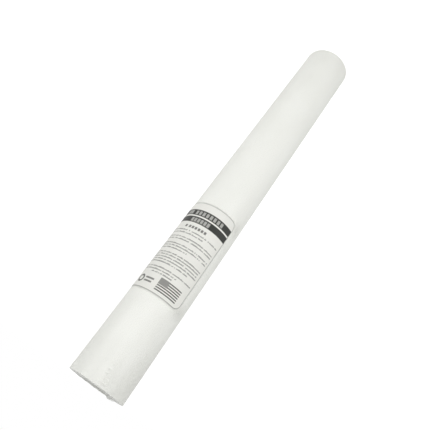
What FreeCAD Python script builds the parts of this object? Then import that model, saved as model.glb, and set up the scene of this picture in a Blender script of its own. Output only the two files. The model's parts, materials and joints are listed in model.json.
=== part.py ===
import FreeCAD, Part
import math
import os
import Sketcher

# A 20 inch sediment filter cartridge of the slim size.
# It is a thick tube of blown polypropylene fibre in a clear shrunk sleeve, with a sticker on its side.
# Frame: millimetres, +Z along the tube, origin on the axis in the plane that the cartridge stands on.
# The sleeve's flat, pressed lip is at the foot, and its gathered lip is at the head.

# Driving dimensions: alias, value, meaning
SIZES = [
    ("element_length", "508", "length of the fibre tube, the nominal 20 inches"),
    ("element_diameter", "60.7", "outside of the fibre tube"),
    ("bore_diameter", "28", "through bore of the fibre tube"),
    ("edge_break", "0.9", "softened outer edge of both cut ends"),
    ("film_thickness", "0.15", "wall of the shrunk sleeve"),
    ("lip_width", "9", "how far the sleeve folds in over each end face"),
    ("pleat_start", "1.6", "distance from the tube's side to where the pleats begin"),
    ("pleat_start_share", "0.2", "width and rise of a pleat at its start, as a share of those at the hem"),
    ("broad_pleat_width", "4.6", "broad pleat at the hem"),
    ("broad_pleat_rise", "0.6", "broad pleat above the lip"),
    ("broad_pleat_count", "7", "broad pleats round the hem"),
    ("broad_pleat_heading", "5", "direction of the first broad pleat, degrees"),
    ("middle_pleat_width", "3.2", "middle pleat at the hem"),
    ("middle_pleat_rise", "0.5", "middle pleat above the lip"),
    ("middle_pleat_count", "8", "middle pleats round the hem"),
    ("middle_pleat_heading", "29", "direction of the first middle pleat, degrees"),
    ("fine_pleat_width", "2.2", "fine pleat at the hem"),
    ("fine_pleat_rise", "0.4", "fine pleat above the lip"),
    ("fine_pleat_count", "11", "fine pleats round the hem"),
    ("fine_pleat_heading", "16", "direction of the first fine pleat, degrees"),
    ("corner_fold_width", "9", "raised corner of film at the hem"),
    ("corner_fold_rise", "1.7", "raised corner of film above the lip"),
    ("corner_fold_start_share", "0.45", "its width and rise at its start, as a share of those at the hem"),
    ("corner_fold_heading", "105.5", "direction of the raised corner, degrees"),
    ("pucker_count", "5", "puckers in a column below the head"),
    ("pucker_heading", "232", "direction of the column of puckers, degrees"),
    ("pucker_first", "4.4", "first pucker below the head"),
    ("pucker_pitch", "4.4", "spacing of the puckers"),
    ("pucker_rise", "0.35", "first pucker above the sleeve"),
    ("pucker_fade", "0.04", "how much lower each next pucker is"),
    ("pucker_ridge", "0.9", "half the height of a pucker along the tube"),
    ("pucker_turn", "14", "radius at which the first pucker is bent"),
    ("pucker_tighten", "1.6", "how much tighter each next pucker is bent, so that it is shorter"),
    ("label_width", "76.2", "sticker round the tube, 3 inches"),
    ("label_height", "114.3", "sticker along the tube, 4.5 inches"),
    ("label_corner", "7.5", "corner radius of the sticker"),
    ("label_thickness", "0.12", "sticker with its glue"),
    ("label_drop", "94.3", "sticker's edge below the head"),
    ("label_heading", "-90", "direction that the sticker's middle faces, degrees"),
]

# Sizes worked out from the driving ones: alias, formula, meaning
DERIVED = [
    ("bore_radius", "=bore_diameter / 2", "bore"),
    ("element_radius", "=element_diameter / 2", "side of the fibre tube"),
    ("element_flat", "=element_radius - edge_break", "edge of the flat cut ends"),
    ("element_foot", "=film_thickness", "lower cut end, on the sleeve's lip"),
    ("element_foot_edge", "=element_foot + edge_break", "where the side begins"),
    ("element_head", "=element_foot + element_length", "upper cut end"),
    ("element_head_edge", "=element_head - edge_break", "where the side ends"),
    ("film_radius", "=element_radius + film_thickness", "side of the sleeve"),
    ("film_edge", "=edge_break + film_thickness * (2 - sqrt(2))", "sleeve's edge, parallel to the tube's"),
    ("film_head", "=element_head + film_thickness", "upper lip of the sleeve"),
    ("lip_radius", "=element_radius - lip_width", "opening in both lips"),
    ("pleat_root", "=film_head - film_thickness / 2", "pleats grow from inside the lip's wall"),
    ("pleat_far", "=element_radius - pleat_start", "start of the pleats"),
    ("pleat_near", "=lip_radius - film_thickness", "hem, just past the lip's opening"),
    ("label_radius", "=film_radius + label_thickness", "face of the sticker"),
    ("label_top", "=film_head - label_drop", "upper edge of the sticker"),
    ("label_foot", "=label_top - label_height", "lower edge of the sticker"),
    ("label_turn", "=label_width / film_radius * 180 / pi", "angle that the sticker covers"),
    ("corner_turn", "=label_corner / film_radius * 180 / pi", "angle that a rounded corner covers"),
    ("corner_reach", "=film_radius * sin(corner_turn)", "corner radius, square to the surface there"),
    ("corner_past", "=label_corner * 1.5", "how far the corner's cut runs past the sticker"),
    ("corner_heading", "=label_turn / 2 - corner_turn", "direction of a corner's centre"),
    ("corner_distance", "=label_radius + label_thickness", "plane that a corner is cut from"),
    ("corner_high", "=label_top - corner_reach", "centre of an upper corner"),
    ("corner_low", "=label_foot + corner_reach", "centre of a lower corner"),
]

# Every fold of film in the gathered lip, named as in the sheet: rings of pleats, and one raised corner
PLEATS = ("broad_pleat", "middle_pleat", "fine_pleat")
RAISED_CORNER = "corner_fold"

doc = FreeCAD.newDocument("sediment_filter_cartridge")
sheet = doc.addObject("Spreadsheet::Sheet", "Sizes")


def crown_formula(width, rise):
    """Radius of an arch of this width, whose foot lies in the middle of the lip's wall."""
    return "=((%s) ^ 2 / 4 + (%s + film_thickness / 2) ^ 2) / (2 * %s + film_thickness)" % (width, rise, rise)


def fold_sizes(name, start_share):
    """What follows for one kind of fold: half its width, and its crown's radius at hem and start."""
    width = name + "_width"
    rise = name + "_rise"
    share = " * " + start_share
    return [
        (name + "_half", "=%s / 2" % width, "half the width at the hem"),
        (name + "_start_half", "=%s / 2%s" % (width, share), "half the width at the start"),
        (name + "_crown", crown_formula(width, rise), "crown at the hem"),
        (name + "_start_crown", crown_formula(width + share, rise + share), "crown at the start"),
    ]


def fill_sheet():
    """Driving sizes first, then what follows from them: name, value and meaning."""
    rows = SIZES + DERIVED
    for name in PLEATS:
        rows = rows + fold_sizes(name, "pleat_start_share")
    rows = rows + fold_sizes(RAISED_CORNER, RAISED_CORNER + "_start_share")
    for row, (alias, text, meaning) in enumerate(rows, start=1):
        sheet.set("A%d" % row, alias)
        sheet.set("B%d" % row, text)
        sheet.setAlias("B%d" % row, alias)
        sheet.set("C%d" % row, meaning)
    doc.recompute()


def size(alias):
    """Present value of a named size."""
    return float(sheet.get(alias))


def term(alias, sign=1):
    """A named size as a formula, with its present value."""
    formula = "Sizes.%s" % alias if sign > 0 else "-Sizes.%s" % alias
    return (formula, size(alias) * sign)


ZERO = ("0", 0.0)


def new_body(name, label):
    """A body whose label names its file."""
    body = doc.addObject("PartDesign::Body", name)
    body.Label = label
    return body


def origin_feature(body, role):
    """One of the body's own planes or axes."""
    return next(feature for feature in body.Origin.OriginFeatures if feature.Role == role)


def attach(body, feature, role):
    """Puts a sketch or a primitive on one of the body's own planes."""
    feature.AttachmentSupport = [(origin_feature(body, role), "")]
    feature.MapMode = "FlatFace"


def new_sketch(body, name, role):
    """A sketch on one of the body's own planes."""
    sketch = body.newObject("Sketcher::SketchObject", name)
    attach(body, sketch, role)
    return sketch


def face_outwards(sketch, distance, heading, height=None):
    """Turns a sketch from the YZ plane to a heading, and moves it out along it and up the tube."""
    angle = size(heading)
    swing = math.radians(angle)
    out = size(distance)
    up = size(height) if height else 0.0
    base = FreeCAD.Vector(out * math.sin(swing), up, out * math.cos(swing))
    sketch.AttachmentOffset = FreeCAD.Placement(base, FreeCAD.Rotation(FreeCAD.Vector(0, 1, 0), angle))
    sketch.setExpression(".AttachmentOffset.Base.x", "Sizes.%s * sin(Sizes.%s)" % (distance, heading))
    sketch.setExpression(".AttachmentOffset.Base.z", "Sizes.%s * cos(Sizes.%s)" % (distance, heading))
    sketch.setExpression(".AttachmentOffset.Rotation.Angle", "Sizes.%s" % heading)
    if height:
        sketch.setExpression(".AttachmentOffset.Base.y", "Sizes.%s" % height)


def add_dimension(sketch, formula, *constraint):
    """A dimension tied to the sheet."""
    index = sketch.addConstraint(Sketcher.Constraint(*constraint))
    sketch.setExpression("Constraints[%d]" % index, formula)


def outward_arc(start, end, radius):
    """The short arc from start to end whose centre lies to the left of the way between them."""
    chord = end - start
    reach = math.sqrt(max(radius**2 - chord.Length**2 / 4, 0.0))
    left = FreeCAD.Vector(-chord.y, chord.x, 0).normalize()
    centre = (start + end) * 0.5 + left * reach
    first = math.atan2(start.y - centre.y, start.x - centre.x)
    last = math.atan2(end.y - centre.y, end.x - centre.x)
    circle = Part.Circle(centre, FreeCAD.Vector(0, 0, 1), radius)
    return Part.ArcOfCircle(circle, first, last)


def draw_outline(sketch, corners, arcs=None):
    """A closed outline of lines, with arcs after the corners that arcs gives a radius for."""
    arcs = arcs or {}
    points = [FreeCAD.Vector(across[1], up[1], 0) for across, up in corners]
    count = len(points)
    for index in range(count):
        start = points[index]
        end = points[(index + 1) % count]
        if index in arcs:
            sketch.addGeometry(outward_arc(start, end, arcs[index][1]), False)
        else:
            sketch.addGeometry(Part.LineSegment(start, end), False)
    for index in range(count):
        sketch.addConstraint(Sketcher.Constraint("Coincident", index, 2, (index + 1) % count, 1))
    for index, (across, up) in enumerate(corners):
        add_dimension(sketch, across[0], "DistanceX", -1, 1, index, 1, across[1])
        add_dimension(sketch, up[0], "DistanceY", -1, 1, index, 1, up[1])
    for index, (formula, value) in arcs.items():
        add_dimension(sketch, formula, "Radius", index, value)


def draw_circle(sketch, alias):
    """A circle about the tube's axis."""
    circle = Part.Circle(FreeCAD.Vector(0, 0, 0), FreeCAD.Vector(0, 0, 1), size(alias))
    sketch.addGeometry(circle, False)
    sketch.addConstraint(Sketcher.Constraint("Coincident", 0, 3, -1, 1))
    add_dimension(sketch, "Sizes.%s" % alias, "Radius", 0, size(alias))


def turn(body, kind, name, section):
    """A revolved feature about the tube's axis."""
    feature = body.newObject("PartDesign::" + kind, name)
    feature.Profile = section
    feature.ReferenceAxis = (section, ["V_Axis"])
    return feature


def draw_tube_section(sketch, inner):
    """Half section of the fibre tube from the radius inner out, with its softened outer edges."""
    corners = [
        (inner, term("element_foot")),
        (term("element_flat"), term("element_foot")),
        (term("element_radius"), term("element_foot_edge")),
        (term("element_radius"), term("element_head_edge")),
        (term("element_flat"), term("element_head")),
        (inner, term("element_head")),
    ]
    draw_outline(sketch, corners)


def make_filter_element():
    """The fibre tube: one turned section, with the bore left open."""
    body = new_body("FilterElement", "filter_element")
    section = new_sketch(body, "ElementSection", "XZ_Plane")
    draw_tube_section(section, term("bore_radius"))
    turn(body, "Revolution", "ElementTube", section)
    return body


def make_sleeve_blank(body):
    """The sleeve's outer form, still filled."""
    disc = new_sketch(body, "SleeveOutline", "XY_Plane")
    draw_circle(disc, "film_radius")
    blank = body.newObject("PartDesign::Pad", "SleeveBlank")
    blank.Profile = disc
    blank.setExpression("Length", "Sizes.film_head")
    doc.recompute()
    rims = [
        "Edge%d" % number
        for number, edge in enumerate(blank.Shape.Edges, start=1)
        if isinstance(edge.Curve, Part.Circle)
    ]
    soft = body.newObject("PartDesign::Chamfer", "SleeveEdges")
    soft.Base = (blank, rims)
    soft.setExpression("Size", "Sizes.film_edge")


def arch_section(body, name, distance, fold, stage=""):
    """Section across a fold of film: an arch on a line inside the lip's wall."""
    section = new_sketch(body, name, "YZ_Plane")
    face_outwards(section, distance, fold + "_heading")
    root = term("pleat_root")
    half = fold + stage + "_half"
    corners = [(term(half, -1), root), (term(half), root)]
    draw_outline(section, corners, {1: term(fold + stage + "_crown")})
    return section


def make_fold(body, name, fold):
    """A fold of film that grows from the rim to the hem."""
    hem = arch_section(body, name + "Hem", "pleat_near", fold)
    start = arch_section(body, name + "Start", "pleat_far", fold, "_start")
    arch = body.newObject("PartDesign::AdditiveLoft", name)
    arch.Profile = hem
    arch.Sections = [(start, [""])]
    arch.Ruled = True
    return arch


def make_pleats(body, fold):
    """One kind of pleat, repeated round the hem."""
    name = fold.title().replace("_", "")
    pleat = make_fold(body, name, fold)
    ring = body.newObject("PartDesign::PolarPattern", name + "Ring")
    ring.Originals = [pleat]
    ring.Axis = (origin_feature(body, "Z_Axis"), [""])
    ring.Angle = 360
    ring.setExpression("Occurrences", "Sizes.%s_count" % fold)
    body.Tip = ring
    doc.recompute()


def make_pucker(body, number):
    """A lens-shaped crease across the sleeve: what stands out of it of a small ring bent more tightly."""
    rise = "(Sizes.pucker_rise - %d * Sizes.pucker_fade)" % number
    bend = "(Sizes.pucker_turn - %d * Sizes.pucker_tighten)" % number
    centre = "(Sizes.film_radius + %s - %s)" % (rise, bend)
    ring = body.newObject("PartDesign::AdditiveTorus", "Pucker%d" % (number + 1))
    attach(body, ring, "XY_Plane")
    ring.setExpression("Radius1", "%s - Sizes.pucker_ridge" % bend)
    ring.setExpression("Radius2", "Sizes.pucker_ridge")
    ring.setExpression(".AttachmentOffset.Base.x", "%s * cos(Sizes.pucker_heading)" % centre)
    ring.setExpression(".AttachmentOffset.Base.y", "%s * sin(Sizes.pucker_heading)" % centre)
    drop = "Sizes.pucker_first + %d * Sizes.pucker_pitch" % number
    ring.setExpression(".AttachmentOffset.Base.z", "Sizes.film_head - (%s)" % drop)


def open_sleeve(body):
    """Takes the fibre tube's room out of the sleeve, and opens both lips."""
    section = new_sketch(body, "SleeveRoom", "XZ_Plane")
    draw_tube_section(section, ZERO)
    turn(body, "Groove", "SleeveHollow", section)
    mouth = new_sketch(body, "LipOutline", "XY_Plane")
    draw_circle(mouth, "lip_radius")
    opening = body.newObject("PartDesign::Pocket", "LipOpenings")
    opening.Profile = mouth
    opening.Type = "ThroughAll"
    opening.Reversed = True


def make_shrink_film():
    """The clear sleeve, with its gathered lip, the raised corner and the column of puckers."""
    body = new_body("ShrinkFilm", "shrink_film")
    make_sleeve_blank(body)
    for fold in PLEATS:
        make_pleats(body, fold)
    make_fold(body, "RaisedCorner", RAISED_CORNER)
    for number in range(int(size("pucker_count"))):
        make_pucker(body, number)
    open_sleeve(body)
    return body


def cut_label_corner(body, name, centre, sign):
    """Rounds an upper or lower corner of the sticker, cutting square to its surface there."""
    section = new_sketch(body, name + "CornerOutline", "YZ_Plane")
    face_outwards(section, "corner_distance", "corner_heading", centre)
    reach = term("corner_reach")
    past = term("corner_past")
    end = term("corner_reach", sign)
    past_end = term("corner_past", sign)
    corners = [(reach, ZERO), (ZERO, end), (ZERO, past_end), (past, past_end), (past, ZERO)]
    arc_after = 0
    if sign < 0:
        corners.reverse()
        arc_after = len(corners) - 2
    draw_outline(section, corners, {arc_after: reach})
    cut = body.newObject("PartDesign::Pocket", name + "Corner")
    cut.Profile = section
    cut.setExpression("Length", "Sizes.label_corner")
    return cut


def make_label():
    """The sticker: a thin sector of a tube with rounded corners."""
    body = new_body("Sticker", "label")
    section = new_sketch(body, "StickerSection", "XZ_Plane")
    inside = term("film_radius")
    face = term("label_radius")
    foot = term("label_foot")
    top = term("label_top")
    draw_outline(section, [(inside, foot), (face, foot), (face, top), (inside, top)])
    sector = turn(body, "Revolution", "StickerSheet", section)
    sector.Midplane = True
    sector.setExpression("Angle", "Sizes.label_turn")
    upper = cut_label_corner(body, "Upper", "corner_high", 1)
    lower = cut_label_corner(body, "Lower", "corner_low", -1)
    twins = body.newObject("PartDesign::Mirrored", "StickerCorners")
    twins.Originals = [upper, lower]
    twins.MirrorPlane = (origin_feature(body, "XZ_Plane"), [""])
    body.Tip = twins
    up = FreeCAD.Vector(0, 0, 1)
    facing = FreeCAD.Rotation(up, size("label_heading"))
    body.Placement = FreeCAD.Placement(FreeCAD.Vector(0, 0, 0), facing)
    body.setExpression(".Placement.Rotation.Angle", "Sizes.label_heading")
    return body


def check_document(bodies):
    """Stops on any object that failed to build, and on any body without one sound solid."""
    for item in doc.Objects:
        if "Invalid" in item.State or "Error" in item.State:
            raise RuntimeError("%s did not build" % item.Label)
    for body in bodies:
        shape = body.Shape
        if shape.isNull() or not shape.isValid() or len(shape.Solids) != 1:
            raise RuntimeError("%s has no single sound solid" % body.Label)


def export(bodies):
    """Writes each body to its own file."""
    os.makedirs("parts", exist_ok=True)
    for body in bodies:
        body.Shape.exportStep("parts/%s.step" % body.Label)
        print("%s: %d faces, %.1f mm3" % (body.Label, len(body.Shape.Faces), body.Shape.Volume))


fill_sheet()
pieces = [make_filter_element(), make_shrink_film(), make_label()]
doc.recompute()
check_document(pieces)
export(pieces)
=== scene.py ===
import json
import math

import bpy
import numpy as np
from mathutils import Matrix, Vector


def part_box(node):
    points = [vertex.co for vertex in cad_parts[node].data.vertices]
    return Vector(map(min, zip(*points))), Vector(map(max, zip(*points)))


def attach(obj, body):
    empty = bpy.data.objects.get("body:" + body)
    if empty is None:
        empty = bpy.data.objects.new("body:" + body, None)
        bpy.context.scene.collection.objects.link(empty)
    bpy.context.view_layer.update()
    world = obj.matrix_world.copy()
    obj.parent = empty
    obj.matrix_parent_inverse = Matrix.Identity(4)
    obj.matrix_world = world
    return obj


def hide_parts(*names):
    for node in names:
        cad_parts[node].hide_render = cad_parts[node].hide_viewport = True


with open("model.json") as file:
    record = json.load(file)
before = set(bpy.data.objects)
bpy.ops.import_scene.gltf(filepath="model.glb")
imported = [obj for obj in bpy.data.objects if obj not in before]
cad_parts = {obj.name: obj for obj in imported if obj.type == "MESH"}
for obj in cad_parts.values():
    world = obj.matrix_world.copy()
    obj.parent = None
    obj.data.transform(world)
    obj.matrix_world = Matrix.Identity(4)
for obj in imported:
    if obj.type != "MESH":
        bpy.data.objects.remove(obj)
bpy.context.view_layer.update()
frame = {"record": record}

# MM takes a size in millimetres to metres.
MM = 0.001
SEED = 11
SHARP_ANGLE = 60
NEARLY = 1e-9
LEAST_HALF = 1e-6
# The least share of its full size that a seeded wave has
LEAST_WAVE = 0.5

# What the frame gives: radii, and heights up the tube from the plane that it stands on
tube_low, tube_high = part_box("filter_element")
film_low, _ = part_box("shrink_film")
_, label_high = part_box("label")
mounts = {mount["name"]: mount for mount in frame["record"]["mounts"]}
BORE_RADIUS = mounts["bore"]["dims"]["r_mm"] * MM
TUBE_RADIUS = tube_high.x
TUBE_FOOT = tube_low.z
TUBE_HEAD = tube_high.z
CAD_WALL = tube_low.z - film_low.z
SLEEVE_RADIUS = TUBE_RADIUS + CAD_WALL
SLEEVE_FOOT = film_low.z
SLEEVE_HEAD = TUBE_HEAD + CAD_WALL

# The fibre tube
TUBE_COLUMNS = 256
CUT_ROWS = 64
TUBE_SIDE_ROWS = 46
BORE_ROWS = 40
EDGE_STEPS = 7
TUBE_EDGE = 0.5 * MM
FIBRE_CLEARANCE = 0.01 * MM
RING_PITCH = 1.15 * MM
RING_RELIEF = 0.05 * MM
RING_FADE = 1 * MM
RING_WANDER = 0.9 * MM
RING_WANDER_COUNTS = (1, 2, 3, 5)
BORE_LINE_STARTS = 2
BORE_LINE_LEAD = 26 * MM
BORE_LINE_DEPTH = 0.06 * MM
BORE_LINE_MARGIN = 1 * MM

# The gentle unevenness of the side, which the tube and the sleeve both have
SIDE_SWELL = 0.03 * MM
SWELL_WAVES = (
    # count round the tube, length along it in millimetres
    (2, 190),
    (3, 95),
    (4, 140),
    (5, 60),
    (7, 44),
    (9, 31),
)

# The sleeve of shrunk film. Its folds are where the CAD node has them.
FILM_COLUMNS = 300
FOOT_LIP_ROWS = 6
HEAD_LIP_ROWS = 20
COARSE_ROWS = 40
FINE_ROWS = 44
FINE_LENGTH = 27 * MM
FILM_WALL = 0.08 * MM
FILM_EDGE = 0.55 * MM
FACES_UP = 0.99
LIP_RADIUS = TUBE_RADIUS - 9 * MM
PLEAT_FAR = TUBE_RADIUS - 1.6 * MM
STEADY_FOOT = 5 * MM
HEM_WAVE = 0.35 * MM
HEM_COUNTS = (3, 5, 8, 13, 21)
FOLD_KINDS = (
    # count, first heading, width and rise at the hem
    (7, 5, 4.6 * MM, 0.58 * MM),
    (8, 29, 3.4 * MM, 0.48 * MM),
    (11, 16, 2.4 * MM, 0.38 * MM),
)
FOLD_LEAN = 4
FOLD_STRAY = 1.5
FOLD_WIDTHS = (0.85, 1.1)
FOLD_RISES = (0.7, 1)
PLEAT_START_SHARE = 0.2
CORNER_HEADING = 105.5
CORNER_WIDTH = 9 * MM
CORNER_RISE = 1.66 * MM
CORNER_START_SHARE = 0.62
PUCKER_HEADING = 232
PUCKERS = (
    # below the head, sideways, half length, half height, rise: all in millimetres
    (4.3, 1.0, 6.6, 0.95, 0.34),
    (8.3, 1.6, 5.6, 1.05, 0.28),
    (13.0, 4.0, 3.2, 1.15, 0.24),
    (17.0, 3.4, 2.1, 0.95, 0.25),
    (21.6, 3.2, 2.1, 0.85, 0.24),
)
PUCKER_BEND = 0.05
PUCKER_DIP = 0.45
PUCKER_DIP_PLACE = 1.9

# How milky the film is: at a lip's rim and how much more at its hem, then in folds and in puckers
HEAD_HAZE = (0.12, 0.43)
FOOT_HAZE = (0.1, 0.12)
FOLD_HAZE = 0.35
PUCKER_HAZE = 0.24
FULL_PUCKER = 0.3 * MM

# The sticker, in millimetres on its own sheet: x to the right from its middle, y up from its lower edge
LABEL_HEADING = -90
LABEL_WIDTH = 76.2
LABEL_HEIGHT = 114.3
LABEL_CORNER = 7.5
LABEL_SHEET = 0.09 * MM
LABEL_GAP = 0.01 * MM
LABEL_LIFT = 0.45 * MM
LABEL_LIFT_REACH = 11.0
LABEL_LIFT_POWER = 1.5
LABEL_BEND_ROWS = 14
LABEL_SIDE_ROWS = 62
LABEL_COLUMNS = 71
# Its header is towards the floor, so its lower edge as it reads is the higher one.
LABEL_BASE = label_high.z

# The camera was fitted to the photograph: it looks down the tube from just above its head.
CAMERA_BEARING = 240.5
CAMERA_DISTANCE = 459.3 * MM
CAMERA_ABOVE_HEAD = 18.2 * MM
CAMERA_HEADING = 59.997
CAMERA_PITCH = -26.965
CAMERA_ROLL = 143.906
CAMERA_LENS = 38.08
CAMERA_REACH = (0.01, 100)
SENSOR_WIDTH = 36
# The fit counted from the middle of the first pixel, so the frame shifts by half a pixel.
PHOTO_PIXELS = 430
CAMERA_SHIFT = 0.5 / PHOTO_PIXELS

rng = np.random.default_rng(SEED)


def smooth_step(value):
    """0 below 0, 1 above 1 and an even S between."""
    value = np.clip(value, 0, 1)
    return value * value * (3 - 2 * value)


def hump(distance, half):
    """A rounded hump of height 1 and the given half width."""
    reach = np.maximum(half, LEAST_HALF)
    return 0.5 + 0.5 * np.cos(math.pi * np.clip(distance / reach, -1, 1))


def turn_between(angles, heading):
    """Signed angle from a heading, in radians."""
    return (angles - math.radians(heading) + math.pi) % (2 * math.pi) - math.pi


def wave_round(angles, counts, size):
    """Uneven wave round the tube with seeded phases."""
    total = 0
    for count in counts:
        wave = np.cos(count * angles + rng.uniform(0, 2 * math.pi))
        total = total + wave * rng.uniform(LEAST_WAVE, 1)
    return size * total / len(counts)


def swell(angles, heights):
    """The side's gentle unevenness, which only goes inward from its radius."""
    total = 0
    for count, length in SWELL_WAVES:
        across = np.cos(count * angles + rng.uniform(0, 2 * math.pi))
        along = np.cos(2 * math.pi * heights / (length * MM) + rng.uniform(0, 2 * math.pi))
        total = total + across * along
    return SIDE_SWELL * total / len(SWELL_WAVES) - SIDE_SWELL


def smooth_faces(mesh):
    """Smooth shading, with real edges kept sharp."""
    mesh.shade_smooth()
    mesh.set_sharp_from_angle(angle=math.radians(SHARP_ANGLE))


def ring_mesh(name, rows):
    """A closed skin from rows of points round the axis; the last row joins the first."""
    count, columns, _ = rows.shape
    index = np.arange(count * columns).reshape(count, columns)
    right = np.roll(index, -1, axis=1)
    above = np.roll(index, -1, axis=0)
    faces = np.stack([index, right, np.roll(right, -1, axis=0), above], axis=-1).reshape(-1, 4)
    mesh = bpy.data.meshes.new(name)
    mesh.from_pydata(rows.reshape(-1, 3).tolist(), [], faces.tolist())
    step = np.linalg.norm(np.roll(rows, -1, axis=0) - rows, axis=2).mean(axis=1)
    along = np.concatenate([[0], np.cumsum(step)])
    column, row = np.meshgrid(np.arange(columns), np.arange(count))
    around = np.stack([column, column + 1, column + 1, column], axis=-1) / columns
    upward = np.stack([along[row], along[row], along[row + 1], along[row + 1]], axis=-1)
    uv = np.stack([around, upward], axis=-1).astype(np.float32)
    mesh.uv_layers.new(name="skin").data.foreach_set("uv", uv.ravel())
    smooth_faces(mesh)
    return mesh


def add_piece(mesh, *materials):
    """Puts a mesh in the scene with its materials."""
    piece = bpy.data.objects.new(mesh.name, mesh)
    bpy.context.scene.collection.objects.link(piece)
    for material in materials:
        mesh.materials.append(material)
    return piece


def place_round(radii, heights, angles):
    """Points from radii and heights of rows, each with its columns round the axis."""
    radii, heights = np.broadcast_arrays(radii, heights)
    around = np.broadcast_to(angles, radii.shape)
    return np.stack([radii * np.cos(around), radii * np.sin(around), heights], axis=-1)


def full_turn(columns):
    """Headings of the columns, as one row."""
    return np.linspace(0, 2 * math.pi, columns, endpoint=False)[None, :]


class Graph:
    """Short calls that add nodes to one material or world."""

    def __init__(self, owner):
        owner.use_nodes = True
        self.tree = owner.node_tree
        self.tree.nodes.clear()

    def add(self, kind, inputs=None, **settings):
        node = self.tree.nodes.new(kind)
        for name, value in settings.items():
            setattr(node, name, value)
        for name, value in (inputs or {}).items():
            self.feed(node.inputs[name], value)
        return node

    def feed(self, socket, value):
        if isinstance(value, bpy.types.NodeSocket):
            self.tree.links.new(value, socket)
        else:
            socket.default_value = value

    def math(self, operation, *values, clamp=False):
        inputs = dict(enumerate(values))
        return self.add("ShaderNodeMath", inputs, operation=operation, use_clamp=clamp).outputs[0]

    def blend(self, share, first, second):
        """A colour between two."""
        node = self.add("ShaderNodeMix", {0: share, 6: first, 7: second}, data_type="RGBA")
        return node.outputs[2]

    def blend_value(self, share, first, second):
        """A number between two."""
        return self.add("ShaderNodeMix", {0: share, 2: first, 3: second}).outputs[0]

    def remap(self, value, low, high):
        """Takes 0 to 1 onto low to high."""
        return self.math("MULTIPLY_ADD", value, high - low, low)

    def object_parts(self):
        """X, Y and Z of the point on the piece."""
        place = self.add("ShaderNodeTexCoord").outputs["Object"]
        return self.add("ShaderNodeSeparateXYZ", {0: place}).outputs

    def noise(self, stretch, scale, detail, roughness):
        """Noise that stays with the piece."""
        place = self.add("ShaderNodeTexCoord").outputs["Object"]
        place = self.add("ShaderNodeMapping", {"Vector": place, "Scale": stretch}).outputs[0]
        inputs = {"Vector": place, "Scale": scale, "Detail": detail, "Roughness": roughness}
        return self.add("ShaderNodeTexNoise", inputs).outputs["Fac"]

    def bump(self, height, strength, distance):
        inputs = {"Height": height, "Strength": strength, "Distance": distance}
        return self.add("ShaderNodeBump", inputs).outputs["Normal"]

    def strip(self, value, low, high, soft=0.06):
        """1 between two limits, with a soft edge."""
        away = self.math("ABSOLUTE", self.math("SUBTRACT", value, (low + high) / 2))
        return self.math("MULTIPLY_ADD", away, -1 / soft, (high - low) / 2 / soft + 0.5, clamp=True)

    def rectangle(self, x, y, left, right, low, high):
        return self.math("MULTIPLY", self.strip(x, left, right), self.strip(y, low, high))

    def spread(self, x, y, centre_x, centre_y):
        """Distance from a centre."""
        across = self.math("POWER", self.math("SUBTRACT", x, centre_x), 2.0)
        up = self.math("POWER", self.math("SUBTRACT", y, centre_y), 2.0)
        return self.math("SQRT", self.math("ADD", across, up))

    def over(self, ink, shape, strength):
        """Ink with one more shape printed at the given strength."""
        return self.math("MAXIMUM", ink, self.math("MULTIPLY", shape, strength))


# Materials

FIBRE_COLOUR = (0.862, 0.865, 0.835, 1)
FIBRE_SHADE = (0.822, 0.825, 0.79, 1)
PAPER_COLOUR = (0.757, 0.755, 0.722, 1)
INK_COLOUR = (0.018, 0.019, 0.016, 1)
BACK_COLOURS = ((0.72, 0.71, 0.66, 1), (0.78, 0.77, 0.72, 1))
FILM_CLEAR = (0.93, 0.93, 0.92, 1)
FILM_MILKY = (0.95, 0.95, 0.93, 1)
FILM_THROUGH = (0.994, 0.995, 0.994, 1)
# The colour of painted shade, on the fibre near the head and on the film beside the sticker
PAINTED_SHADE_COLOUR = (0.5, 0.5, 0.46, 1)

# Noises: stretch along x, y and z, scale, detail, roughness
STRANDS = ((260, 260, 2600), 1.0, 4.0, 0.6)
FELT = ((1, 1, 1), 900.0, 3.0, 0.65)
MOTTLE = ((1, 1, 0.45), 38.0, 3.0, 0.5)
CRINKLE = ((1, 1, 0.5), 260.0, 3.0, 0.55)
PAPER_GRAIN = ((1, 1, 1), 700.0, 3.0, 0.6)
BACK_GRAIN = ((1, 1, 1), 500.0, 2.0, 0.5)

# Bumps: strength, height
FIBRE_BUMP = (0.14, 0.12 * MM)
FILM_BUMP = (0.08, 0.15 * MM)
PAPER_BUMP = (0.12, 0.05 * MM)

# Roughness: at the noise's low and high end, or bare and inked
FIBRE_ROUGHNESS = (0.72, 0.95)
FILM_ROUGHNESS = (0.26, 0.38)
PAPER_ROUGHNESS = (0.56, 0.48)
BACK_ROUGHNESS = 0.6
FIBRE_SPECULAR = 0.3
PAPER_SPECULAR = 0.35

# How the noises are used
FELT_SHARE = 0.5
MOTTLE_CONTRAST = 2.6
MOTTLE_OFFSET = -0.8
GRAIN_SHADES = (0.97, 1.03)

# Painted shade: the fibre is darkened towards the head, on the side that faces this heading.
HEAD_PAINTED_SHADE = 0.16
HEAD_SHADE_HEADING = 212
HEAD_SHADE_REACH = 75 * MM

# The film: a pair is for its side, then for the head's lip
GLANCE_SHARES = (0.05, 0.3)
MILK_GAINS = (5.0, 2.5)
GLANCE_POWER = 5.0
FILM_SHEEN = 0.035
HAZE_SHARE = 0.6
# How much the painted shade beside the sticker covers the film and greys it
SHADE_SHARE = 0.5
SHADE_GAIN = 4.0
LIP_DEPTH = 0.3 * MM

# Painted shade on the film beside the sticker: a band along its edge, and painted shadows beyond its right
# corners
SEAM_SHADE_REACH = 2.6
SEAM_SHADE = 0.24
CORNER_SHADOWS = (
    # across and up on the sticker's sheet, radius, strength
    (43.0, 110.0, 13.0, 0.17),
    (42.0, 1.0, 13.0, 0.17),
)


def new_material(name):
    material = bpy.data.materials.new(name)
    return material, Graph(material)


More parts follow.
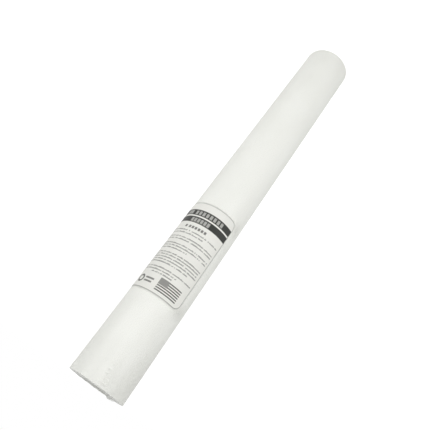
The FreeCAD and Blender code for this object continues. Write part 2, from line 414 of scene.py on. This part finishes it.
def principled(graph, inputs):
    return graph.add("ShaderNodeBsdfPrincipled", inputs).outputs[0]


def finish_surface(graph, surface):
    graph.add("ShaderNodeOutputMaterial", {"Surface": surface})


def painted_head_shade(graph):
    """Painted shade on the fibre: most at the head, and none on the cut end."""
    parts = graph.object_parts()
    toward = math.radians(HEAD_SHADE_HEADING)
    aside = graph.math("MULTIPLY", parts["Y"], math.sin(toward) / TUBE_RADIUS)
    facing = graph.math("MULTIPLY_ADD", parts["X"], math.cos(toward) / TUBE_RADIUS, aside, clamp=True)
    reach = HEAD_SHADE_REACH
    near = graph.math("MULTIPLY_ADD", parts["Z"], 1 / reach, 1 - TUBE_HEAD / reach, clamp=True)
    below = graph.math("LESS_THAN", parts["Z"], TUBE_HEAD - TUBE_EDGE)
    shade_amount = graph.math("MULTIPLY", graph.math("MULTIPLY", facing, near), below)
    return graph.math("MULTIPLY", shade_amount, HEAD_PAINTED_SHADE)


def blown_fibre():
    """Matt blown fibre: fine strands laid round the tube, with faint mottling, and painted shade near the
    head.
    """
    material, graph = new_material("blown_fibre")
    strands = graph.noise(*STRANDS)
    felt = graph.noise(*FELT)
    mottle = graph.noise(*MOTTLE)
    height = graph.math("MULTIPLY_ADD", felt, FELT_SHARE, strands)
    shade = graph.math("MULTIPLY_ADD", mottle, MOTTLE_CONTRAST, MOTTLE_OFFSET, clamp=True)
    plain = graph.blend(shade, FIBRE_SHADE, FIBRE_COLOUR)
    inputs = {
        # The base colour carries painted shade towards the head.
        "Base Color": graph.blend(painted_head_shade(graph), plain, PAINTED_SHADE_COLOUR),
        "Roughness": graph.remap(strands, *FIBRE_ROUGHNESS),
        "Normal": graph.bump(height, *FIBRE_BUMP),
        "Specular IOR Level": FIBRE_SPECULAR,
    }
    finish_surface(graph, principled(graph, inputs))
    return material


def painted_sticker_shade(graph):
    """Painted shade on the film: a band along the sticker's edge, and painted shadows beyond its right
    corners.
    """
    parts = graph.object_parts()
    turned = graph.math("ARCTAN2", parts["X"], graph.math("MULTIPLY", parts["Y"], -1.0))
    x = graph.math("MULTIPLY", turned, -SLEEVE_RADIUS / MM)
    y = graph.math("MULTIPLY_ADD", parts["Z"], -1 / MM, LABEL_BASE / MM)
    away = rounded_edge(graph, x, y)
    seam_shade = graph.math("MULTIPLY_ADD", away, -1 / SEAM_SHADE_REACH, 1.0, clamp=True)
    shade_amount = graph.math("MULTIPLY", seam_shade, SEAM_SHADE)
    for centre_x, centre_y, radius, strength in CORNER_SHADOWS:
        spread = graph.spread(x, y, centre_x, centre_y)
        corner_shadow = graph.math("MULTIPLY_ADD", spread, -strength / radius, strength, clamp=True)
        shade_amount = graph.math("MAXIMUM", shade_amount, corner_shadow)
    return shade_amount


def clear_film():
    """Clear shrunk film: all but see-through with a soft sheen, milky where it is gathered, and greyed with
    painted shade beside the sticker.
    """
    material, graph = new_material("clear_film")
    haze = graph.add("ShaderNodeAttribute", attribute_name="haze").outputs["Fac"]
    facing = graph.add("ShaderNodeLayerWeight", {"Blend": 0.5}).outputs["Facing"]
    crinkle = graph.noise(*CRINKLE)
    # Painted shade and painted shadows on the film beside the sticker
    sticker_shade = painted_sticker_shade(graph)
    on_lip = graph.math("GREATER_THAN", graph.object_parts()["Z"], SLEEVE_HEAD - LIP_DEPTH)
    steep = graph.math("POWER", facing, GLANCE_POWER)
    glancing = graph.math("MULTIPLY", steep, graph.remap(on_lip, *GLANCE_SHARES))
    sheen = graph.math("ADD", glancing, FILM_SHEEN)
    share = graph.math("MULTIPLY_ADD", haze, HAZE_SHARE, sheen, clamp=True)
    share = graph.math("MULTIPLY_ADD", sticker_shade, SHADE_SHARE, share, clamp=True)
    milky = graph.math("MULTIPLY", haze, graph.remap(on_lip, *MILK_GAINS))
    milky = graph.math("MULTIPLY_ADD", sticker_shade, SHADE_GAIN, milky, clamp=True)
    clean = graph.blend(milky, FILM_CLEAR, FILM_MILKY)
    shade_mix = graph.math("MULTIPLY", sticker_shade, SHADE_GAIN, clamp=True)
    inputs = {
        "Base Color": graph.blend(shade_mix, clean, PAINTED_SHADE_COLOUR),
        "Metallic": graph.math("SUBTRACT", 1.0, milky),
        "Roughness": graph.remap(crinkle, *FILM_ROUGHNESS),
        "Normal": graph.bump(crinkle, *FILM_BUMP),
    }
    film = principled(graph, inputs)
    through = graph.add("ShaderNodeBsdfTransparent", {"Color": FILM_THROUGH}).outputs[0]
    mixed = graph.add("ShaderNodeMixShader", {0: share, 1: through, 2: film}).outputs[0]
    finish_surface(graph, mixed)
    return material


# The sticker's print, in millimetres on the sheet. Lettering is left as plain blocks of its size.
BARS = ((96.9, 104.6), (87.3, 95.1))
BAR_END = 37.9
HEADER_BLOCKS = (
    # first block's left side, count, pitch, low, high
    (-20.3, 2, 3.7, 98.0, 103.1),
    (-9.3, 8, 4.5, 98.0, 103.1),
    (-9.3, 6, 3.98, 88.4, 93.6),
)
HEADER_WIDTH = 3.05
HEADER_PALENESS = 0.46
BLOCK_MARGIN = 0.2
TITLE_BLOCKS = ((-10.8, 1), (-5.8, 6))
TITLE_LOW = 79.9
TITLE_HIGH = 83.1
TITLE_PITCH = 3.75
TITLE_WIDTH = 2.6
TEXT_LEFT = -34.4
TEXT_RIGHT = 35.2
TEXT_ROWS = (
    # middle of the row, left end, right end
    (76.0, TEXT_LEFT, TEXT_RIGHT),
    (72.5, TEXT_LEFT, 16.7),
    (66.8, TEXT_LEFT, TEXT_RIGHT),
    (63.7, TEXT_LEFT, TEXT_RIGHT),
    (57.3, TEXT_LEFT, TEXT_RIGHT),
    (54.3, TEXT_LEFT, TEXT_RIGHT),
    (51.1, TEXT_LEFT, 11.2),
    (44.9, TEXT_LEFT, TEXT_RIGHT),
    (42.0, TEXT_LEFT, TEXT_RIGHT),
    (38.9, TEXT_LEFT, TEXT_RIGHT),
    (35.8, TEXT_LEFT, TEXT_RIGHT),
    (32.6, TEXT_LEFT, 25.2),
    (26.3, TEXT_LEFT, TEXT_RIGHT),
    (23.2, TEXT_LEFT, 17.7),
    (20.1, -10.3, 14.7),
)
TEXT_RISE = 1.5
SMALL_RISE = TEXT_RISE - 0.35
TALL_EXTRA = 0.45
LETTER_PITCH = 1.12
LETTER_START = 0.1
LETTER_SHARE = 0.66
LETTER_SOFT = 0.12
LETTER_CRISP = 8.0
WORD_GAP = 0.12
TALL_FROM = 0.62
STRIPES_LEFT = 5.0
STRIPES_RIGHT = 30.5
STRIPES_LOW = 3.7
STRIPE_PITCH = 2.45
STRIPE_COUNT = 6
STRIPES_MARGIN = 0.1
FIELD = (4.9, 15.2, 10.5, 17.5)
ROUNDEL = (-17.6, 9.9, 4.6)
ROUNDEL_BAND = 2.0
DASHES = ((-11.4, -0.5, 11.0, 12.9), (-11.4, -1.6, 7.3, 9.2))
BORDER = 0.4

# How strongly each kind of shape is inked
TITLE_INK = 0.8
TEXT_INK = 0.92
STRIPE_INK = 0.92
FIELD_INK = 0.69
ROUNDEL_INK = 0.88
DASH_INK = 0.74
BORDER_INK = 0.82


def rounded_edge(graph, x, y):
    """Distance out from the sticker's rounded outline, negative inside."""
    across = graph.math("SUBTRACT", graph.math("ABSOLUTE", x), LABEL_WIDTH / 2 - LABEL_CORNER)
    middle = graph.math("ABSOLUTE", graph.math("SUBTRACT", y, LABEL_HEIGHT / 2))
    up = graph.math("SUBTRACT", middle, LABEL_HEIGHT / 2 - LABEL_CORNER)
    wide = graph.math("MAXIMUM", across, 0.0)
    high = graph.math("MAXIMUM", up, 0.0)
    outside = graph.spread(wide, high, 0.0, 0.0)
    inside = graph.math("MINIMUM", graph.math("MAXIMUM", across, up), 0.0)
    return graph.math("SUBTRACT", graph.math("ADD", outside, inside), LABEL_CORNER)


def block_row(graph, x, y, left, count, pitch, width, low, high):
    """A row of equal plain blocks."""
    right = left + (count - 1) * pitch + width
    step = graph.math("MODULO", graph.math("SUBTRACT", x, left - pitch), pitch)
    blocks = graph.strip(step, 0, width)
    row = graph.rectangle(x, y, left - BLOCK_MARGIN, right + BLOCK_MARGIN, low, high)
    return graph.math("MULTIPLY", row, blocks)


def letter_row(graph, x, y, middle, left, right, number):
    """A row of small blocks in groups, as fine print looks from a step away."""
    cell = graph.math("DIVIDE", graph.math("SUBTRACT", x, left), LETTER_PITCH)
    place = graph.math("FLOOR", cell)
    along = graph.math("FRACT", cell)
    within = graph.strip(along, LETTER_START, LETTER_START + LETTER_SHARE, LETTER_SOFT)
    seed = graph.add("ShaderNodeCombineXYZ", {0: place, 1: float(number)}).outputs[0]
    chances = graph.add("ShaderNodeTexWhiteNoise", {"Vector": seed}, noise_dimensions="3D")
    chance = chances.outputs["Value"]
    kept = graph.math("GREATER_THAN", chance, WORD_GAP)
    tall = graph.math("GREATER_THAN", chance, TALL_FROM)
    above = graph.math("SUBTRACT", y, middle - TEXT_RISE / 2)
    top = graph.math("MULTIPLY_ADD", tall, TALL_EXTRA, SMALL_RISE)
    reach = graph.math("MULTIPLY", graph.math("SUBTRACT", top, above), LETTER_CRISP, clamp=True)
    stands = graph.math("MULTIPLY", reach, graph.math("MULTIPLY", above, LETTER_CRISP, clamp=True))
    ink = graph.math("MULTIPLY", graph.math("MULTIPLY", within, kept), stands)
    return graph.math("MULTIPLY", ink, graph.strip(x, left, right))


def header_ink(graph, x, y):
    """Two dark bars with rows of paler blocks."""
    bars = 0.0
    for low, high in BARS:
        bars = graph.math("MAXIMUM", bars, graph.rectangle(x, y, -BAR_END, BAR_END, low, high))
    pale = 0.0
    for left, count, pitch, low, high in HEADER_BLOCKS:
        blocks = block_row(graph, x, y, left, count, pitch, HEADER_WIDTH, low, high)
        pale = graph.math("MAXIMUM", pale, blocks)
    return graph.math("MULTIPLY", bars, graph.remap(pale, 1.0, 1.0 - HEADER_PALENESS))


def striped_block(graph, x, y):
    """A striped block with a plain field in its upper left."""
    top = STRIPES_LOW + (STRIPE_COUNT - 0.5) * STRIPE_PITCH
    step = graph.math("MODULO", graph.math("SUBTRACT", y, STRIPES_LOW), STRIPE_PITCH)
    stripes = graph.strip(step, 0, STRIPE_PITCH / 2)
    block = graph.rectangle(x, y, STRIPES_LEFT, STRIPES_RIGHT, STRIPES_LOW, top + STRIPES_MARGIN)
    striped = graph.math("MULTIPLY", stripes, graph.math("MULTIPLY", block, STRIPE_INK))
    return graph.blend_value(graph.rectangle(x, y, *FIELD), striped, FIELD_INK)


def print_mask(graph, x, y):
    """Where the sticker is inked: bars with pale blocks, rows of fine print and simple shapes."""
    ink = header_ink(graph, x, y)
    for left, count in TITLE_BLOCKS:
        title = block_row(graph, x, y, left, count, TITLE_PITCH, TITLE_WIDTH, TITLE_LOW, TITLE_HIGH)
        ink = graph.over(ink, title, TITLE_INK)
    for number, row in enumerate(TEXT_ROWS):
        ink = graph.over(ink, letter_row(graph, x, y, *row, number), TEXT_INK)
    ink = graph.math("MAXIMUM", ink, striped_block(graph, x, y))
    centre_x, centre_y, radius = ROUNDEL
    spread = graph.spread(x, y, centre_x, centre_y)
    ink = graph.over(ink, graph.strip(spread, radius - ROUNDEL_BAND, radius), ROUNDEL_INK)
    for dash in DASHES:
        ink = graph.over(ink, graph.rectangle(x, y, *dash), DASH_INK)
    edge = graph.strip(rounded_edge(graph, x, y), -BORDER, BORDER)
    return graph.over(ink, edge, BORDER_INK)


def printed_sticker():
    """Satin paper with dark print."""
    material, graph = new_material("printed_sticker")
    uv = graph.add("ShaderNodeUVMap", uv_map="sheet").outputs[0]
    parts = graph.add("ShaderNodeSeparateXYZ", {0: uv}).outputs
    x = graph.math("MULTIPLY_ADD", parts["X"], LABEL_WIDTH, -LABEL_WIDTH / 2)
    y = graph.math("MULTIPLY", parts["Y"], LABEL_HEIGHT)
    ink = print_mask(graph, x, y)
    grain = graph.noise(*PAPER_GRAIN)
    shade = graph.remap(grain, *GRAIN_SHADES)
    paper = graph.add("ShaderNodeMixRGB", {0: 1.0, 1: PAPER_COLOUR, 2: shade}, blend_type="MULTIPLY")
    inputs = {
        "Base Color": graph.blend(ink, paper.outputs[0], INK_COLOUR),
        "Roughness": graph.remap(ink, *PAPER_ROUGHNESS),
        "Normal": graph.bump(grain, *PAPER_BUMP),
        "Specular IOR Level": PAPER_SPECULAR,
    }
    finish_surface(graph, principled(graph, inputs))
    return material


def sticker_back():
    """The sticker's glued side."""
    material, graph = new_material("sticker_back")
    colour = graph.blend(graph.noise(*BACK_GRAIN), *BACK_COLOURS)
    finish_surface(graph, principled(graph, {"Base Color": colour, "Roughness": BACK_ROUGHNESS}))
    return material


# Pieces

def stack_rows(blocks):
    """Joins blocks of rows; a number in a block holds for all its rows."""
    columns = zip(*[np.broadcast_arrays(*block) for block in blocks])
    return [np.concatenate(column)[:, None] for column in columns]


def make_fibre_tube():
    """The blown fibre tube: bore, side and both cut ends, with faint growth rings in the cuts."""
    outside = TUBE_RADIUS - FIBRE_CLEARANCE
    flat = TUBE_RADIUS - TUBE_EDGE
    edge = outside - flat
    angles = full_turn(TUBE_COLUMNS)
    cut = np.linspace(BORE_RADIUS, flat, CUT_ROWS)
    soft = np.linspace(0, math.pi / 2, EDGE_STEPS)[1:-1]
    side = np.linspace(TUBE_FOOT + edge, TUBE_HEAD - edge, TUBE_SIDE_ROWS)
    bore = np.linspace(TUBE_HEAD, TUBE_FOOT, BORE_ROWS)[1:-1]
    blocks = (
        (cut, TUBE_FOOT),
        (flat + edge * np.sin(soft), TUBE_FOOT + edge * (1 - np.cos(soft))),
        (outside, side),
        (flat + edge * np.cos(soft), TUBE_HEAD - edge * (1 - np.sin(soft))),
        (cut[::-1], TUBE_HEAD),
        (BORE_RADIUS, bore),
    )
    radii, heights = stack_rows(blocks)
    on_face = np.isin(radii, cut)
    inward = np.where(heights > (TUBE_FOOT + TUBE_HEAD) / 2, -1, 1)
    wander = wave_round(angles, RING_WANDER_COUNTS, RING_WANDER)
    rings = np.cos(2 * math.pi * (radii + wander) / RING_PITCH)
    fade = smooth_step((radii - BORE_RADIUS) / RING_FADE) * smooth_step((flat - radii) / RING_FADE)
    sink = RING_RELIEF * (0.5 + 0.5 * rings) * fade * on_face
    on_side = radii >= outside - NEARLY
    low = TUBE_FOOT + BORE_LINE_MARGIN
    high = TUBE_HEAD - BORE_LINE_MARGIN
    in_bore = (radii <= BORE_RADIUS + NEARLY) & (heights > low) & (heights < high)
    spiral = np.cos(angles * BORE_LINE_STARTS + 2 * math.pi * heights / BORE_LINE_LEAD)
    groove = spiral * BORE_LINE_DEPTH - BORE_LINE_DEPTH
    radii = radii + np.where(on_side, swell(angles, heights), 0) - np.where(in_bore, groove, 0)
    heights = heights + inward * sink
    mesh = ring_mesh("fibre_tube", place_round(radii, heights, angles))
    return add_piece(mesh, blown_fibre())


def lip_folds(angles, radii):
    """Height of the gathered lip over its flat: pleats that grow towards the hem, and the raised corner."""
    grown = np.clip((PLEAT_FAR - radii) / (PLEAT_FAR - LIP_RADIUS), 0, 1)
    rim = smooth_step((SLEEVE_RADIUS - FILM_EDGE - radii) / (SLEEVE_RADIUS - FILM_EDGE - PLEAT_FAR))
    share = (PLEAT_START_SHARE + (1 - PLEAT_START_SHARE) * grown) * rim
    height = 0
    for count, first, width, rise in FOLD_KINDS:
        for number in range(count):
            lean = rng.uniform(-FOLD_LEAN, FOLD_LEAN) * (1 - grown)
            heading = first + number * 360 / count + rng.uniform(-FOLD_STRAY, FOLD_STRAY)
            across = (turn_between(angles, heading) + np.radians(lean)) * radii
            arch = hump(across, width * rng.uniform(*FOLD_WIDTHS) / 2 * share)
            height = np.maximum(height, arch * rise * rng.uniform(*FOLD_RISES) * share)
    across = turn_between(angles, CORNER_HEADING) * radii
    share = (CORNER_START_SHARE + (1 - CORNER_START_SHARE) * grown) * rim
    corner = hump(across, CORNER_WIDTH / 2 * share) * CORNER_RISE * share
    return np.maximum(height, corner)


def side_puckers(angles, drop):
    """The column of puckers below the head, each a bent ridge with a shallow dip below it."""
    height = 0
    for below, sideways, half_long, half_high, rise in PUCKERS:
        across = turn_between(angles, PUCKER_HEADING) * SLEEVE_RADIUS / MM - sideways
        bend = PUCKER_BEND * across**2 / half_long
        up = (drop / MM - below - bend) / half_high
        ridge = np.exp(-up**2) - PUCKER_DIP * np.exp(-((up - PUCKER_DIP_PLACE) ** 2))
        height = height + ridge * hump(across, half_long) * rise * MM
    return height


def film_haze(radii, up, folds, puckers):
    """How milky the film is: clear on the side, white where it is gathered, folded or puckered."""
    grown = smooth_step((SLEEVE_RADIUS - radii) / (SLEEVE_RADIUS - LIP_RADIUS))
    haze = 0
    for towards, (at_rim, more_at_hem) in ((up, HEAD_HAZE), (-up, FOOT_HAZE)):
        haze = haze + np.clip(towards, 0, 1) ** 3 * (at_rim + more_at_hem * grown)
    haze = haze + FOLD_HAZE * np.clip(folds / CORNER_RISE, 0, 1)
    return haze + PUCKER_HAZE * np.clip(puckers / FULL_PUCKER, 0, 1)


def sleeve_section():
    """Rows from the foot's hem to the head's: radii, heights, and how far out and up they face."""
    edge = FILM_EDGE
    flat = SLEEVE_RADIUS - edge
    fine_foot = SLEEVE_HEAD - edge - FINE_LENGTH
    coarse = np.linspace(SLEEVE_FOOT + edge, fine_foot, COARSE_ROWS)
    fine = np.linspace(fine_foot, SLEEVE_HEAD - edge, FINE_ROWS)[1:]
    outwards = np.linspace(1, 0, FOOT_LIP_ROWS)
    inwards = np.linspace(0, 1, HEAD_LIP_ROWS)
    turn = np.linspace(0, 1, EDGE_STEPS)[1:-1] * math.pi / 2
    sine = np.sin(turn)
    cosine = np.cos(turn)
    blocks = (
        (flat + outwards * (LIP_RADIUS - flat), SLEEVE_FOOT, 0, -1),
        (flat + edge * sine, SLEEVE_FOOT + edge * (1 - cosine), sine, -cosine),
        (SLEEVE_RADIUS, np.concatenate([coarse, fine]), 1, 0),
        (flat + edge * cosine, SLEEVE_HEAD - edge * (1 - sine), cosine, sine),
        (flat + inwards * (LIP_RADIUS - flat), SLEEVE_HEAD, 0, 1),
    )
    return stack_rows(blocks)


def make_film_sleeve():
    """The clear sleeve: flat lip at the foot, straight side, and a gathered lip with a wavy hem."""
    angles = full_turn(FILM_COLUMNS)
    radii, heights, out, up = sleeve_section()
    on_lip = up > FACES_UP
    hem = wave_round(angles, HEM_COUNTS, HEM_WAVE)
    near_hem = smooth_step((PLEAT_FAR - radii) / (PLEAT_FAR - LIP_RADIUS))
    radii = radii + hem * near_hem * on_lip
    folds = np.where(on_lip, lip_folds(angles, radii), 0)
    puckers = out * side_puckers(angles, SLEEVE_HEAD - heights)
    haze = film_haze(radii, up, folds, puckers)
    uneven = out * swell(angles, heights) * smooth_step(heights / STEADY_FOOT)
    outer_rise = folds + puckers + uneven
    inner_rise = outer_rise - FILM_WALL
    outer = place_round(radii + out * outer_rise, heights + up * outer_rise, angles)
    inner = place_round(radii + out * inner_rise, heights + up * inner_rise, angles)
    mesh = ring_mesh("film_sleeve", np.concatenate([outer, inner[::-1]]))
    both = np.concatenate([haze, haze[::-1]]).astype(np.float32)
    mesh.attributes.new("haze", "FLOAT", "POINT").data.foreach_set("value", both.ravel())
    return add_piece(mesh, clear_film())


def sheet_point(x, y, away):
    """A point of the sticker at a distance from the sleeve's side."""
    angles = math.radians(LABEL_HEADING) - x * MM / SLEEVE_RADIUS
    radii = SLEEVE_RADIUS + away
    return np.stack([radii * np.cos(angles), radii * np.sin(angles), LABEL_BASE - y * MM], axis=-1)


def sheet_grid():
    """Places on the sticker's sheet, row by row between its rounded corners."""
    bend = LABEL_CORNER * (1 - np.cos(np.linspace(0, math.pi / 2, LABEL_BEND_ROWS)))
    straight = np.linspace(bend[-1], LABEL_HEIGHT - bend[-1], LABEL_SIDE_ROWS)[1:-1]
    up = np.concatenate([bend, straight, LABEL_HEIGHT - bend[::-1]])
    into = np.minimum(np.minimum(up, LABEL_HEIGHT - up), LABEL_CORNER)
    half = LABEL_WIDTH / 2 - LABEL_CORNER + np.sqrt(LABEL_CORNER**2 - (LABEL_CORNER - into) ** 2)
    across = np.linspace(-1, 1, LABEL_COLUMNS)
    return half[:, None] * across[None, :], np.repeat(up[:, None], across.size, axis=1)


def make_sticker():
    """The printed sticker, with rounded corners that lift a little off the film."""
    x, y = sheet_grid()
    reach = np.hypot(LABEL_WIDTH / 2 - np.abs(x), np.minimum(y, LABEL_HEIGHT - y))
    lift = LABEL_LIFT * smooth_step(1 - reach / LABEL_LIFT_REACH) ** LABEL_LIFT_POWER
    back = sheet_point(x, y, LABEL_GAP + lift)
    front = sheet_point(x, y, LABEL_GAP + LABEL_SHEET + lift)
    count = x.size
    index = np.arange(count).reshape(x.shape)
    corners = [index[:-1, :-1], index[:-1, 1:], index[1:, 1:], index[1:, :-1]]
    face = np.stack(corners, axis=-1).reshape(-1, 4)
    rim = np.concatenate([index[0, :], index[1:, -1], index[-1, -2::-1], index[-2:0:-1, 0]])
    after = np.roll(rim, -1)
    wall = np.stack([rim + count, after + count, after, rim], axis=-1)
    faces = np.concatenate([face, face[:, ::-1] + count, wall])
    mesh = bpy.data.meshes.new("sticker_sheet")
    points = np.concatenate([front.reshape(-1, 3), back.reshape(-1, 3)])
    mesh.from_pydata(points.tolist(), [], faces.tolist())
    place = np.stack([x / LABEL_WIDTH + 0.5, y / LABEL_HEIGHT], axis=-1).reshape(-1, 2)
    uv = np.concatenate([place, place])[faces.ravel()].astype(np.float32)
    mesh.uv_layers.new(name="sheet").data.foreach_set("uv", uv.ravel())
    piece = add_piece(mesh, printed_sticker(), sticker_back())
    slots = np.zeros(len(faces), dtype=np.int32)
    slots[len(face):2 * len(face)] = 1
    mesh.polygons.foreach_set("material_index", slots)
    smooth_faces(mesh)
    return piece


# Stage, light and camera

WHITE = (1, 1, 1, 1)
FLOOR_REACH = 12
FLOOR_COLOUR = (0.8, 0.8, 0.79, 1)
FLOOR_SEEN_COLOUR = (0.5, 0.5, 0.5, 1)
FLOOR_SEEN_GLOW = 0.87
SKY_COLOUR = (1, 1, 0.985, 1)
SKY_LOW = 0.93
SKY_HIGH = 0.515
SKY_BAND = 0.42

# Lamps: bearing in degrees, height in metres, power in watts
LAMPS = (
    (160, 0.12, 0.12),
    (205, 0.12, 0.57),
    (250, 0.12, 0.18),
    (295, 0.12, 0.38),
    (340, 0.12, 0.18),
    (160, 0.44, 0.08),
    (205, 0.44, 0.32),
    (250, 0.44, 0.67),
    (295, 0.44, 0.45),
    (340, 0.44, 0.06),
)
REAR_LAMPS = (
    (40, 0.28, 0.6),
    (80, 0.28, 0.6),
)
LAMP_DISTANCE = 0.6
LAMP_WIDE = 0.42
LAMP_HIGH = 0.3


def seen_directly(graph):
    """1 for what the camera sees, also in gloss and through clear things."""
    path = graph.add("ShaderNodeLightPath").outputs
    gloss = graph.math("MAXIMUM", path["Is Glossy Ray"], path["Is Transmission Ray"])
    return graph.math("MAXIMUM", path["Is Camera Ray"], gloss)


def make_floor():
    """A plain white floor that keeps a soft shadow."""
    material, graph = new_material("studio_floor")
    plain = graph.add("ShaderNodeBsdfDiffuse", {"Color": FLOOR_COLOUR}).outputs[0]
    shade = graph.add("ShaderNodeBsdfDiffuse", {"Color": FLOOR_SEEN_COLOUR}).outputs[0]
    glow = graph.add("ShaderNodeEmission", {"Strength": FLOOR_SEEN_GLOW}).outputs[0]
    white = graph.add("ShaderNodeAddShader", {0: shade, 1: glow}).outputs[0]
    mixed = graph.add("ShaderNodeMixShader", {0: seen_directly(graph), 1: plain, 2: white}).outputs[0]
    finish_surface(graph, mixed)
    reach = FLOOR_REACH
    mesh = bpy.data.meshes.new("floor")
    points = [(-reach, -reach, 0), (reach, -reach, 0), (reach, reach, 0), (-reach, reach, 0)]
    mesh.from_pydata(points, [], [(0, 1, 2, 3)])
    floor = add_piece(mesh, material)


def make_sky():
    """Soft light that comes mostly from the sides, and a white backdrop."""
    world = bpy.data.worlds.new("studio")
    bpy.context.scene.world = world
    graph = Graph(world)
    ray = graph.add("ShaderNodeTexCoord").outputs["Generated"]
    height = graph.add("ShaderNodeSeparateXYZ", {0: ray}).outputs["Z"]
    inputs = {
        "Value": height,
        "From Min": 0.0,
        "From Max": SKY_BAND,
        "To Min": SKY_LOW,
        "To Max": SKY_HIGH,
    }
    level = graph.add("ShaderNodeMapRange", inputs, interpolation_type="SMOOTHSTEP").outputs[0]
    light = graph.add("ShaderNodeBackground", {"Color": SKY_COLOUR, "Strength": level}).outputs[0]
    white = graph.add("ShaderNodeBackground", {"Color": WHITE, "Strength": 1.0}).outputs[0]
    mixed = graph.add("ShaderNodeMixShader", {0: seen_directly(graph), 1: light, 2: white}).outputs[0]
    graph.add("ShaderNodeOutputWorld", {"Surface": mixed})


def add_lamp(name, bearing, height, power, in_gloss):
    """A soft lamp that faces the tube's axis at its own height."""
    lamp = bpy.data.lights.new(name, "AREA")
    lamp.shape = "RECTANGLE"
    lamp.size = LAMP_WIDE
    lamp.size_y = LAMP_HIGH
    lamp.energy = power
    holder = bpy.data.objects.new(name, lamp)
    bpy.context.scene.collection.objects.link(holder)
    away = Vector((math.cos(math.radians(bearing)), math.sin(math.radians(bearing)), 0))
    holder.location = away * LAMP_DISTANCE + Vector((0, 0, height))
    holder.visible_camera = False
    holder.visible_glossy = in_gloss
    holder.rotation_mode = "QUATERNION"
    holder.rotation_quaternion = away.to_track_quat("Z", "Y")


def make_camera():
    """The photograph's camera."""
    data = bpy.data.cameras.new("camera")
    data.sensor_width = SENSOR_WIDTH
    data.lens = CAMERA_LENS
    data.shift_x = -CAMERA_SHIFT
    data.shift_y = CAMERA_SHIFT
    data.clip_start, data.clip_end = CAMERA_REACH
    camera = bpy.data.objects.new("camera", data)
    bpy.context.scene.collection.objects.link(camera)
    bearing = math.radians(CAMERA_BEARING)
    camera.location = (
        CAMERA_DISTANCE * math.cos(bearing),
        CAMERA_DISTANCE * math.sin(bearing),
        SLEEVE_HEAD + CAMERA_ABOVE_HEAD,
    )
    heading = Matrix.Rotation(math.radians(CAMERA_HEADING - 90), 4, "Z")
    pitch = Matrix.Rotation(math.radians(90 + CAMERA_PITCH), 4, "X")
    roll = Matrix.Rotation(math.radians(-CAMERA_ROLL), 4, "Z")
    camera.rotation_mode = "QUATERNION"
    camera.rotation_quaternion = (heading @ pitch @ roll).to_quaternion()
    bpy.context.scene.camera = camera


fibre_tube = make_fibre_tube()
film_sleeve = make_film_sleeve()
sticker = make_sticker()

for piece, node, slot in (
    (fibre_tube, "filter_element", "blown_fibre"),
    (film_sleeve, "shrink_film", "clear_film"),
    (sticker, "label", "printed_sticker"),
):
    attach(piece, "root")
    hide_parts(node)

make_floor()
make_sky()
for number, (bearing, height, power) in enumerate(LAMPS):
    add_lamp("lamp_%d" % number, bearing, height, power, True)
# The gloss of the rear lamps would whiten the outline that the camera sees.
for number, (bearing, height, power) in enumerate(REAR_LAMPS):
    add_lamp("rear_lamp_%d" % number, bearing, height, power, False)
make_camera()
bpy.context.scene.view_settings.view_transform = "Standard"
